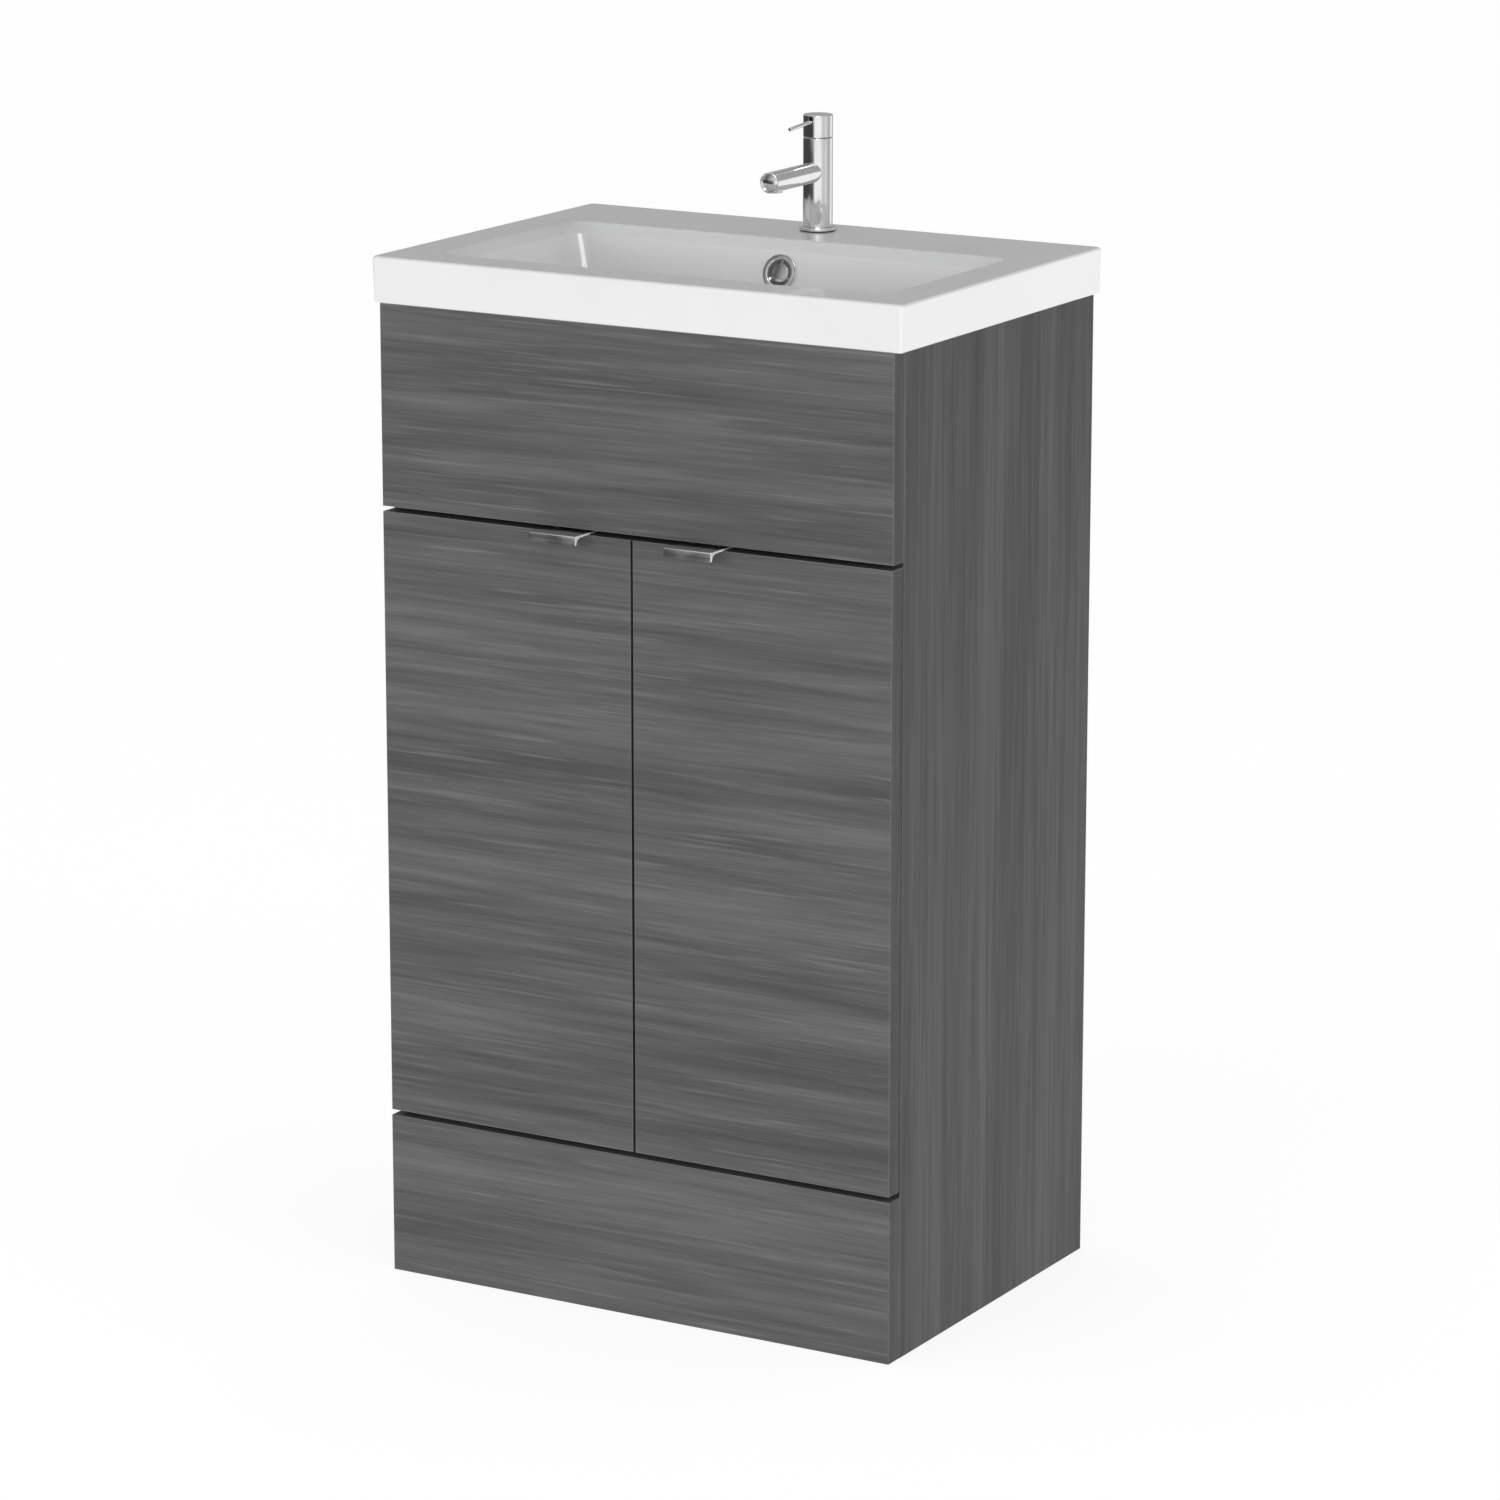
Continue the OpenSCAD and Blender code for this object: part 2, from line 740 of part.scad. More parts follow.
// Outlet insert under the end of the spout
module tap_aerator() {
    color(steel) at_tap() translate([0, -spout_reach + aerator_from_end, spout_z - spout_d / 2 - 0.6])
        difference() {
            cylinder(r = 6, h = 4.6);
            for (a = [0 : 60 : 300]) rotate([0, 0, a])
                translate([3.2, 0, -over]) cylinder(r = 1, h = 8);
        }
}

module tap_cartridge() {
    color(clear_plastic) at_tap() {
        rod_z([0, 0, chamber_z], chamber_r - eps, cap_z0 - 0.6 - chamber_z);
        rod_z([0, 0, chamber_z + 1], cap_in_r - 1, 29);
        rod_z([0, 0, chamber_z + 2], 3, 31);
    }
}

// Turning cap: a cup over the cartridge, with a slot in front and two cheeks for the lever's axle
module tap_cap() {
    roof_z = tap_h - cap_roof;
    color(chrome) at_tap() {
        difference() {
            union() {
                rod_z([0, 0, cap_z0], tap_r, tap_h - cap_z0 - 0.6);
                translate([0, 0, tap_h - 0.6]) cylinder(r1 = tap_r, r2 = tap_r - 0.6, h = 0.6);
            }
            rod_z([0, 0, cap_z0 - over], cap_in_r, roof_z - cap_z0 + over);
            box([-lever_d / 2 - 0.3, -tap_r - over, lever_z - 2.6], [lever_d / 2 + 0.3, -tap_r / 2, lever_z + 3.8]);
        }
        difference() {
            intersection() {
                rod_z([0, 0, lever_z - 3.4], cap_in_r + 0.1, roof_z - lever_z + 3.5);
                for (s = [-1, 1])
                    translate([s * 7.8, lever_y, lever_z]) cube([7, 7, 12], center = true);
            }
            rod_x([-8.2, lever_y, lever_z], axle_r + eps, 16.4);
        }
    }
}

// Pin lever with its hub and axle, resting a few degrees below level
module tap_lever() {
    color(chrome) at_tap() translate([0, lever_y, lever_z]) {
        rod_x([-7.6, 0, 0], axle_r, 15.2);
        rod_x([-3.6, 0, 0], hub_r, 7.2);
        rotate([90 + lever_rest, 0, 0]) cylinder(r = lever_d / 2, h = (lever_reach + lever_y) / cos(lever_rest));
    }
}

module tap_stud() {
    color(brass) at_tap() rod_z([0, stud_y, -56], stud_r, 56 + socket_z + inlet_len - 1);
}

// Horseshoe shape that leaves room for the tails
module horseshoe(z, h, r) {
    difference() {
        rod_z([0, 0, z], r, h);
        box([-inlet_x - inlet_r - 1, -r - over, z - over], [inlet_x + inlet_r + 1, 1.5, z + h + over]);
        rod_z([0, stud_y, z - over], stud_r + eps, h + 2 * over);
    }
}

module tap_rubber_washer() color(rubber) at_tap() horseshoe(-deck_t - 3, 3, 21);
module tap_clamp_plate() color(steel) at_tap() horseshoe(-deck_t - 5, 2, 20);

module tap_nut() {
    color(brass) at_tap() translate([0, stud_y, -deck_t - 11]) difference() {
        cylinder(r = 5.8, h = 6, $fn = 6);
        translate([0, 0, -over]) cylinder(r = stud_r + eps, h = 8);
    }
}

// ---------------------------------------------------------------- nodes

left_side_panel();
right_side_panel();
bottom_panel();
shelf();
shelf_pegs();
top_front_panel();
plinth_panel();
front_rail();
back_top_rail();
back_lower_rail();
cam_locks();
cam_bolts();
dowels();
corner_brackets();
bracket_screws();
left_door_panel();
right_door_panel();
left_handle();
right_handle();
left_handle_screws();
right_handle_screws();
left_door_bumpers();
right_door_bumpers();
left_hinge_cups();
right_hinge_cups();
left_cup_screws();
right_cup_screws();
left_hinge_links();
right_hinge_links();
left_hinge_arms();
right_hinge_arms();
left_hinge_pins();
right_hinge_pins();
left_hinge_plates();
right_hinge_plates();
left_plate_screws();
right_plate_screws();
basin();
overflow_ring();
overflow_disc();
waste_body();
waste_top_seal();
waste_bottom_seal();
waste_nut();
waste_plug();
tap_seal();
tap_base_ring();
tap_body();
tap_spout();
tap_aerator();
tap_cartridge();
tap_cap();
tap_lever();
tap_stud();
tap_rubber_washer();
tap_clamp_plate();
tap_nut();
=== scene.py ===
import json
import math

import bmesh
import bpy
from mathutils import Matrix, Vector


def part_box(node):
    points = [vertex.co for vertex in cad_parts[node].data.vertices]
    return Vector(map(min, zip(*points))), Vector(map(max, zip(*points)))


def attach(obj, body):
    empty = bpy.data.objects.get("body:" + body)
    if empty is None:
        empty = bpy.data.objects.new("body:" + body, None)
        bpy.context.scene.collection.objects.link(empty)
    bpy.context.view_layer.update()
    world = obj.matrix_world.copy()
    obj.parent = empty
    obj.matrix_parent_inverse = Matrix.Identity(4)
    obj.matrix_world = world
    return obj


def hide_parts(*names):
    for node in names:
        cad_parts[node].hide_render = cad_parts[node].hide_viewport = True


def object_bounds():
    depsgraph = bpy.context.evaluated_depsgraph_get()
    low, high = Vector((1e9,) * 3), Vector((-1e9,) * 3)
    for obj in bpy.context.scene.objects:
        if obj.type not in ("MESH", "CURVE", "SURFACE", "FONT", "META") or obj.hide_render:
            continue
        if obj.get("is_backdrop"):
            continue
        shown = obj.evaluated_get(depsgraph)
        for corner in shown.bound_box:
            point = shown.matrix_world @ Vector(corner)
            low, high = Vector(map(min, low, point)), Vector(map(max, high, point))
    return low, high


MM = 0.001
PHOTO_YAW = 30.14           # degrees to the right of the front from which the photo is taken
PHOTO_PITCH = 13.72         # degrees by which the photo looks down
WALL_LEAN = math.radians(16.5)      # of the bowl's walls from upright
BOWL_DEPTH = 112            # mm below the deck

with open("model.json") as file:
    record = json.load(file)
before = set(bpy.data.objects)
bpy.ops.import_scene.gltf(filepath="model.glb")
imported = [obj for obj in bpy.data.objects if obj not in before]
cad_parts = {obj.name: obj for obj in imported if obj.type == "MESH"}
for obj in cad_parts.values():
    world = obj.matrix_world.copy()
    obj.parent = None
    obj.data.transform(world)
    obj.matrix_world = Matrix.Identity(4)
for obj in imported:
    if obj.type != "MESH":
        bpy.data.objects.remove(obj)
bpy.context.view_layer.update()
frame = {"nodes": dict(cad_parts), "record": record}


# ---------------------------------------------------------------- node helpers

class Graph:
    """A material's or world's node tree, with short ways to add and join nodes."""

    def __init__(self, owner):
        owner.use_nodes = True
        self.tree = owner.node_tree
        self.tree.nodes.clear()

    def add(self, kind, **settings):
        node = self.tree.nodes.new(kind)
        for key, value in settings.items():
            setattr(node, key, value)
        return node

    def set(self, node, **values):
        for key, value in values.items():
            node.inputs[key.replace("_", " ")].default_value = value
        return node

    def join(self, source, target):
        self.tree.links.new(source, target)

    def math(self, operation, a, b=0.0, clamp=False):
        node = self.add("ShaderNodeMath", operation=operation, use_clamp=clamp)
        for socket, value in zip(node.inputs, (a, b)):
            if isinstance(value, (int, float)):
                socket.default_value = value
            else:
                self.join(value, socket)
        return node.outputs[0]

    def coords(self, scale, offset=(0, 0, 0)):
        place = self.add("ShaderNodeTexCoord")
        mapping = self.add("ShaderNodeMapping")
        mapping.inputs["Scale"].default_value = scale
        mapping.inputs["Location"].default_value = offset
        self.join(place.outputs["Object"], mapping.inputs["Vector"])
        return mapping.outputs["Vector"]

    def noise(self, vector, scale=1.0, detail=2.0, roughness=0.5, distortion=0.0):
        node = self.add("ShaderNodeTexNoise")
        self.set(node, Scale=scale, Detail=detail, Roughness=roughness, Distortion=distortion)
        self.join(vector, node.inputs["Vector"])
        return node.outputs["Fac"]

    def spread(self, value, low, high, to_low=0.0, to_high=1.0):
        node = self.add("ShaderNodeMapRange")
        node.inputs["From Min"].default_value = low
        node.inputs["From Max"].default_value = high
        node.inputs["To Min"].default_value = to_low
        node.inputs["To Max"].default_value = to_high
        self.join(value, node.inputs["Value"])
        return node.outputs["Result"]

    def ramp(self, value, stops):
        node = self.add("ShaderNodeValToRGB")
        points = node.color_ramp.elements
        while len(points) < len(stops):
            points.new(0.5)
        for point, (position, colour) in zip(points, stops):
            point.position = position
            point.color = (*colour, 1)
        self.join(value, node.inputs["Fac"])
        return node.outputs["Color"]

    def mix(self, factor, a, b, blend="MIX"):
        node = self.add("ShaderNodeMix", data_type="RGBA", blend_type=blend)
        for name, value in (("Factor", factor), ("A", a), ("B", b)):
            socket = next(s for s in node.inputs if s.name == name and s.enabled)
            if isinstance(value, (int, float)):
                socket.default_value = value
            elif isinstance(value, tuple):
                socket.default_value = (*value, 1)
            else:
                self.join(value, socket)
        return next(s for s in node.outputs if s.enabled)

    def bump(self, height, strength, distance, normal=None):
        node = self.add("ShaderNodeBump")
        self.set(node, Strength=strength, Distance=distance)
        self.join(height, node.inputs["Height"])
        if normal is not None:
            self.join(normal, node.inputs["Normal"])
        return node.outputs["Normal"]

    def soft_corner(self, radius):
        node = self.add("ShaderNodeBevel", samples=6)
        node.inputs["Radius"].default_value = radius
        return node.outputs["Normal"]

    def edge_mask(self, radius):
        """Near 1 on sharp edges and near 0 on flat faces."""
        node = self.add("ShaderNodeBevel", samples=8)
        node.inputs["Radius"].default_value = radius
        flat = self.add("ShaderNodeNewGeometry")
        dot = self.add("ShaderNodeVectorMath", operation="DOT_PRODUCT")
        self.join(node.outputs["Normal"], dot.inputs[0])
        self.join(flat.outputs["Normal"], dot.inputs[1])
        return self.spread(dot.outputs["Value"], 0.995, 0.9, 0.0, 1.0)

    def principled(self, **values):
        node = self.add("ShaderNodeBsdfPrincipled")
        out = self.add("ShaderNodeOutputMaterial")
        self.join(node.outputs["BSDF"], out.inputs["Surface"])
        return self.set(node, **values)


def new_material(name):
    material = bpy.data.materials.new(name)
    return material, Graph(material)


# ---------------------------------------------------------------- materials

def streaks(g, lengths, offset):
    """One layer of streaks; lengths are their size along x, y and z in metres."""
    return g.coords(tuple(1 / s for s in lengths), offset)


def laminate_colour(g, horizontal):
    """Dark grey printed wood grain. It runs along x on the fronts and upright on the sides, where
    it is also printed darker as painted shade.
    """
    if horizontal:
        fine = g.noise(streaks(g, (0.10, 0.4, 0.0023), (0, 0, 0)), 1, 2, 0.55, 0.04)
        mid = g.noise(streaks(g, (0.21, 0.4, 0.0095), (3.1, 0, 7.7)), 1, 3, 0.5, 0.08)
        broad = g.noise(streaks(g, (0.70, 0.8, 0.040), (1.3, 0, 2.9)), 1, 3, 0.5, 0.10)
        spark = g.noise(streaks(g, (0.12, 0.4, 0.0028), (9.1, 0, 4.2)), 1, 2, 0.5, 0.04)
        print_and_shade_tone = 0.775
    else:
        fine = g.noise(streaks(g, (0.0026, 0.0026, 0.12), (0, 0, 0)), 1, 2, 0.55, 0.2)
        mid = g.noise(streaks(g, (0.0085, 0.0085, 0.36), (2.3, 5.1, 0)), 1, 3, 0.55, 0.3)
        broad = g.noise(streaks(g, (0.05, 0.05, 1.2), (6.3, 1.9, 0)), 1, 2, 0.5, 0.2)
        spark = g.noise(streaks(g, (0.0036, 0.0036, 0.16), (4.4, 8.2, 0)), 1, 2, 0.5, 0.2)
        # painted shade: the upright print is darker than the fronts' print, because the sides stand
        # in shade
        print_and_shade_tone = 0.475
    layers = g.math("ADD", g.math("MULTIPLY", fine, 0.25), g.math("MULTIPLY", mid, 0.33))
    layers = g.math("ADD", layers, g.math("MULTIPLY", broad, 0.42))
    dark, middle, pale = ((tone * print_and_shade_tone,) * 3 for tone in (0.080, 0.120, 0.176))
    tone = g.ramp(layers, ((0.37, dark), (0.50, middle), (0.64, pale)))
    light = g.spread(spark, 0.60, 0.73, 0.0, 0.52)
    return g.mix(light, tone, (0.222 * print_and_shade_tone,) * 3), layers


def laminate(name, horizontal):
    material, g = new_material(name)
    surface = g.principled(Specular_IOR_Level=0.3)
    colour, layers = laminate_colour(g, horizontal)
    if horizontal:
        # end faces take the upright grain and its darker tone, which is painted shade
        upright, _ = laminate_colour(g, False)
        own = g.add("ShaderNodeTexCoord")
        parts = g.add("ShaderNodeSeparateXYZ")
        g.join(own.outputs["Normal"], parts.inputs[0])
        end_grain_and_shade = g.math("GREATER_THAN", g.math("ABSOLUTE", parts.outputs["X"]), 0.7)
        colour = g.mix(end_grain_and_shade, colour, upright)
    # painted highlight: sharp edges are mixed towards a paler grey, as if their rounding caught
    # light
    painted_edge_highlight = g.math("MULTIPLY", g.edge_mask(0.0012), 0.42)
    g.join(g.mix(painted_edge_highlight, colour, (0.30, 0.30, 0.305)), surface.inputs["Base Color"])
    g.join(g.spread(layers, 0.3, 0.7, 0.56, 0.44), surface.inputs["Roughness"])
    g.join(g.bump(layers, 0.12, 0.0004, g.soft_corner(0.0006)), surface.inputs["Normal"])
    return material


def melamine(name, base, grain_scale):
    """Plain board faces inside, with a faint print."""
    material, g = new_material(name)
    surface = g.principled(Specular_IOR_Level=0.4)
    grain = g.noise(g.coords(grain_scale), 1, 3, 0.6, 0.2)
    speck = g.noise(g.coords((900, 900, 900)), 1, 2)
    tone = g.math("ADD", g.math("MULTIPLY", grain, 0.8), g.math("MULTIPLY", speck, 0.2))
    low, high = tuple(0.86 * c for c in base), tuple(1.12 * c for c in base)
    g.join(g.ramp(tone, ((0.35, low), (0.65, high))), surface.inputs["Base Color"])
    g.join(g.spread(tone, 0.3, 0.7, 0.5, 0.4), surface.inputs["Roughness"])
    g.join(g.bump(speck, 0.08, 0.0003, g.soft_corner(0.0006)), surface.inputs["Normal"])
    return material


def ceramic_material():
    """Glazed white ceramic."""
    material, g = new_material("basin_gloss_white")
    surface = g.principled(Coat_Weight=0.35, Coat_Roughness=0.04, Specular_IOR_Level=0.5)
    mottle = g.noise(g.coords((9, 9, 9)), 1, 2)
    orange_peel = g.noise(g.coords((260, 260, 260)), 1, 1)
    g.join(g.ramp(mottle, ((0.3, (0.80, 0.805, 0.81)), (0.7, (0.83, 0.832, 0.835)))),
           surface.inputs["Base Color"])
    g.join(g.spread(mottle, 0.3, 0.7, 0.16, 0.22), surface.inputs["Roughness"])
    g.join(g.bump(orange_peel, 0.03, 0.0002), surface.inputs["Normal"])
    return material


def metal(name, colour, roughness, brushed=0.0):
    """Plated or turned metal. Finger marks and wipe marks show in its roughness."""
    material, g = new_material(name)
    surface = g.principled(Metallic=1.0)
    smear = g.noise(g.coords((55, 55, 38)), 1, 3, 0.55, 0.6)
    turned = g.noise(g.coords((140, 140, 2600)), 1, 2, 0.5)
    low, high = tuple(0.94 * c for c in colour), colour
    g.join(g.ramp(smear, ((0.3, high), (0.75, low))), surface.inputs["Base Color"])
    g.join(g.spread(smear, 0.35, 0.75, roughness, roughness * 1.6 + 0.03),
           surface.inputs["Roughness"])
    g.join(g.bump(turned, 0.006 + brushed, 0.0001, g.soft_corner(0.00035)),
           surface.inputs["Normal"])
    return material


def satin():
    """Brushed and plated strip. The brush marks run along the handle."""
    material, g = new_material("satin_chrome")
    surface = g.principled(Metallic=1.0)
    brushed = g.noise(g.coords((18, 1500, 1500)), 1, 2, 0.5)
    smear = g.noise(g.coords((60, 60, 60)), 1, 2, 0.5)
    g.join(g.ramp(brushed, ((0.3, (0.80, 0.80, 0.805)), (0.7, (0.90, 0.90, 0.905)))),
           surface.inputs["Base Color"])
    g.join(g.spread(g.math("ADD", brushed, smear), 0.7, 1.3, 0.13, 0.24),
           surface.inputs["Roughness"])
    g.join(g.bump(smear, 0.02, 0.0002), surface.inputs["Normal"])
    return material


def moulded(name, base, roughness):
    """Rubber or plastic with a fine moulded skin."""
    material, g = new_material(name)
    surface = g.principled(Specular_IOR_Level=0.4)
    skin = g.noise(g.coords((1400, 1400, 1400)), 1, 2)
    cloud = g.noise(g.coords((60, 60, 60)), 1, 2)
    low, high = tuple(0.85 * c for c in base), tuple(1.15 * c for c in base)
    g.join(g.ramp(cloud, ((0.3, low), (0.7, high))), surface.inputs["Base Color"])
    g.join(g.spread(skin, 0.3, 0.7, roughness - 0.06, roughness + 0.06),
           surface.inputs["Roughness"])
    g.join(g.bump(skin, 0.1, 0.0001, g.soft_corner(0.0004)), surface.inputs["Normal"])
    return material


def beech():
    """Bare turned beech with its grain along the dowel."""
    material, g = new_material("beech_dowel")
    surface = g.principled(Specular_IOR_Level=0.3)
    rings = g.noise(g.coords((30, 900, 900)), 1, 3, 0.6)
    g.join(g.ramp(rings, ((0.35, (0.42, 0.27, 0.14)), (0.65, (0.62, 0.44, 0.26)))),
           surface.inputs["Base Color"])
    g.join(g.spread(rings, 0.3, 0.7, 0.7, 0.55), surface.inputs["Roughness"])
    g.join(g.bump(rings, 0.2, 0.0002), surface.inputs["Normal"])
    return material


def slot_materials():
    """One finish for each slot of the record, and two that only the handles use."""
    return {
        "front_boards": laminate("laminate_across", True),
        # side boards: the fronts' print in a darker tone, which is painted shade
        "side_boards": laminate("laminate_upright_shaded", False),
        "inner_boards": melamine("melamine_grey", (0.42, 0.425, 0.43), (3, 40, 40)),
        # rails behind the gaps: near black so that the gaps read as deep shadow, painted shade on
        # real rails
        "dark_rail": melamine("melamine_black_gap_shade", (0.012, 0.012, 0.013), (3, 60, 60)),
        "basin": ceramic_material(),
        "chrome": metal("chrome_plate", (0.86, 0.865, 0.87), 0.045),
        "satin": satin(),
        "cut_end": metal("sawn_end", (0.98, 0.98, 0.98), 0.66),
        "zinc_steel": metal("zinc_plate", (0.60, 0.61, 0.62), 0.24, 0.06),
        "brass": metal("turned_brass", (0.72, 0.53, 0.26), 0.2, 0.08),
        "rubber": moulded("black_rubber", (0.016, 0.016, 0.017), 0.62),
        "plastic": moulded("white_plastic", (0.62, 0.62, 0.61), 0.42),
        "bumper": moulded("clear_bumper", (0.5, 0.5, 0.49), 0.35),
        "beech": beech(),
    }


# ---------------------------------------------------------------- mesh helpers

def shade(mesh, angle):
    """Smooth faces, with edges sharper than the angle left crisp."""
    work = bmesh.new()
    work.from_mesh(mesh)
    bmesh.ops.remove_doubles(work, verts=work.verts, dist=1e-6)
    bmesh.ops.recalc_face_normals(work, faces=work.faces)
    for face in work.faces:
        face.smooth = True
    for edge in work.edges:
        edge.smooth = len(edge.link_faces) == 2 and edge.calc_face_angle() < math.radians(angle)
    work.to_mesh(mesh)
    work.free()


def new_object(name, work, angle=30):
    mesh = bpy.data.meshes.new(name)
    work.to_mesh(mesh)
    work.free()
    shade(mesh, angle)
    obj = bpy.data.objects.new(name, mesh)
    bpy.context.scene.collection.objects.link(obj)
    return obj


def bake(obj, angle=30):
    """Replaces the object's mesh by the result of its modifiers."""
    bpy.context.view_layer.update()
    graph = bpy.context.evaluated_depsgraph_get()
    made = bpy.data.meshes.new_from_object(obj.evaluated_get(graph))
    obj.modifiers.clear()
    obj.data = made
    shade(made, angle)
    return obj


def boolean(obj, other, operation):
    """Joins or cuts with another mesh, which is then thrown away."""
    modifier = obj.modifiers.new(operation, "BOOLEAN")
    modifier.object = other
    modifier.operation = operation
    modifier.solver = "EXACT"
    bake(obj)
    bpy.data.objects.remove(other)
    return obj


def bevel(obj, width, segments=3, angle=35):
    """Rounds the sharp edges with modifiers, so the mesh itself stays as it is."""
    weld = obj.modifiers.new("weld", "WELD")
    weld.merge_threshold = 1e-6
    modifier = obj.modifiers.new("bevel", "BEVEL")
    modifier.width = width
    modifier.segments = segments
    modifier.limit_method = "ANGLE"
    modifier.angle_limit = math.radians(angle)
    modifier.harden_normals = True
    modifier.use_clamp_overlap = True
    return obj


def even_shading(obj):
    """Large flat faces keep their own normal, so that roundings beside them stay crisp."""
    modifier = obj.modifiers.new("weighted", "WEIGHTED_NORMAL")
    modifier.weight = 50
    modifier.keep_sharp = True
    return obj


def arc(centre, radius, start, end, steps=6):
    """Points of an arc in a profile's plane; the angles are in degrees."""
    points = []
    for i in range(steps + 1):
        a = math.radians(start + (end - start) * i / steps)
        points.append((centre[0] + radius * math.cos(a), centre[1] + radius * math.sin(a)))
    return points


def frame_along(axis):
    """Two directions that make a right-handed frame with the axis."""
    axis = Vector(axis).normalized()
    side = Vector((0, 0, 1)) if abs(axis.z) < 0.9 else Vector((1, 0, 0))
    u = axis.cross(side).normalized()
    return u, axis.cross(u).normalized(), axis


def lathe(name, origin, axis, profile, steps=96, angle=30):
    """Turns a closed profile of (radius, height) in mm round an axis through origin."""
    u, v, w = frame_along(axis)
    origin = Vector(origin)
    work = bmesh.new()
    rings = []
    for radius, height in profile:
        ring = []
        if radius < 1e-4:
            ring = [work.verts.new(origin + w * height * MM)] * steps
        else:
            for i in range(steps):
                a = 2 * math.pi * i / steps
                out = u * math.cos(a) + v * math.sin(a)
                ring.append(work.verts.new(origin + (out * radius + w * height) * MM))
        rings.append(ring)
    for a, b in zip(rings, rings[1:] + rings[:1]):
        for i in range(steps):
            j = (i + 1) % steps
            corners = list(dict.fromkeys((a[i], a[j], b[j], b[i])))
            if len(corners) > 2:
                work.faces.new(corners)
    return new_object(name, work, angle)


def prism(name, origin, profile, axes, length, angle=30, soft_ends=0.0):
    """Pushes a closed outline (mm) along the third of the axes, both ways from origin.

    soft_ends rounds the edges of its two ends.
    """
    work = bmesh.new()
    x, y, z = (Vector(a) for a in axes)
    ends = []
    for sign in (-0.5, 0.5):
        ends.append([
            work.verts.new(Vector(origin) + x * p[0] * MM + y * p[1] * MM + z * length * sign)
            for p in profile
        ])
    for i in range(len(profile)):
        j = (i + 1) % len(profile)
        work.faces.new((ends[0][i], ends[0][j], ends[1][j], ends[1][i]))
    caps = [work.faces.new(ends[0]), work.faces.new(ends[1])]
    if soft_ends:
        edges = [edge for cap in caps for edge in cap.edges]
        bmesh.ops.bevel(work, geom=edges, offset=soft_ends * MM, segments=3, profile=0.5,
                        affect="EDGES", clamp_overlap=True)
    return new_object(name, work, angle)


def block(name, low, high):
    """A box between two corners, used to cut or to join."""
    work = bmesh.new()
    bmesh.ops.create_cube(work, size=1)
    low, high = Vector(low), Vector(high)
    for vert in work.verts:
        vert.co = Vector((low[i] + (vert.co[i] + 0.5) * (high[i] - low[i]) for i in range(3)))
    return new_object(name, work)


def islands(mesh_object):
    """The separate closed bits of a node's mesh, each as (low, high) corners."""
    work = bmesh.new()
    work.from_mesh(mesh_object.data)
    bmesh.ops.remove_doubles(work, verts=work.verts, dist=1e-6)
    left, found = set(work.verts), []
    while left:
        stack, seen = [left.pop()], set()
        while stack:
            vert = stack.pop()
            seen.add(vert)
            for edge in vert.link_edges:
                other = edge.other_vert(vert)
                if other in left:
                    left.discard(other)
                    stack.append(other)
        low = Vector((min(v.co[i] for v in seen) for i in range(3)))
        high = Vector((max(v.co[i] for v in seen) for i in range(3)))
        found.append((low, high))
    work.free()
    return sorted(found, key=lambda b: tuple(round(c, 4) for c in b[0]))


def place(obj, body, nodes, slot, materials):
    """Gives a piece its finish, hides the CAD nodes that it stands for and lets it ride."""
    obj.data.materials.clear()
    obj.data.materials.append(materials[slot])
    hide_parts(*nodes)
    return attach(obj, body)


# ---------------------------------------------------------------- basin

OVERFLOW_AXIS = (0, -math.cos(WALL_LEAN), math.sin(WALL_LEAN))


def rounded_ring(centre, half_x, half_y, radius, z, long_steps=24, short_steps=10, bend=8):
    """Points round a rectangle with rounded corners, always the same count."""
    cx, cy = centre
    radius = min(radius, half_x - 1, half_y - 1)
    corners = ((1, 1, 0), (-1, 1, 90), (-1, -1, 180), (1, -1, 270))
    points = []
    for n, (sx, sy, start) in enumerate(corners):
        ox, oy = cx + sx * (half_x - radius), cy + sy * (half_y - radius)
        for x, y in arc((ox, oy), radius, start, start + 90, bend):
            points.append(Vector((x, y, z)))
        nx, ny, first = corners[(n + 1) % 4]
        steps = long_steps if nx != sx else short_steps
        target = Vector((cx + nx * (half_x - radius), cy + ny * (half_y - radius), z))
        target += Vector((radius * math.cos(math.radians(first)),
                          radius * math.sin(math.radians(first)), 0))
        last = points[-1].copy()
        for i in range(1, steps):
            points.append(last.lerp(target, i / steps))
    return points


def round_ring(centre, radius, like, z):
    """A circle whose points lie in the same directions as those of another ring."""
    cx, cy = centre
    points = []
    for p in like:
        a = math.atan2(p.y - cy, p.x - cx)
        points.append(Vector((cx + radius * math.cos(a), cy + radius * math.sin(a), z)))
    return points


def bowl_inset(depth):
    """How far the wall has come in at a depth: it leans, then sweeps into the floor."""
    lean = depth * math.tan(WALL_LEAN)
    if depth <= 60:
        return lean
    swept = min((depth - 60) / 52, 1)
    return lean + 31 * (1 - math.sqrt(1 - swept * swept))


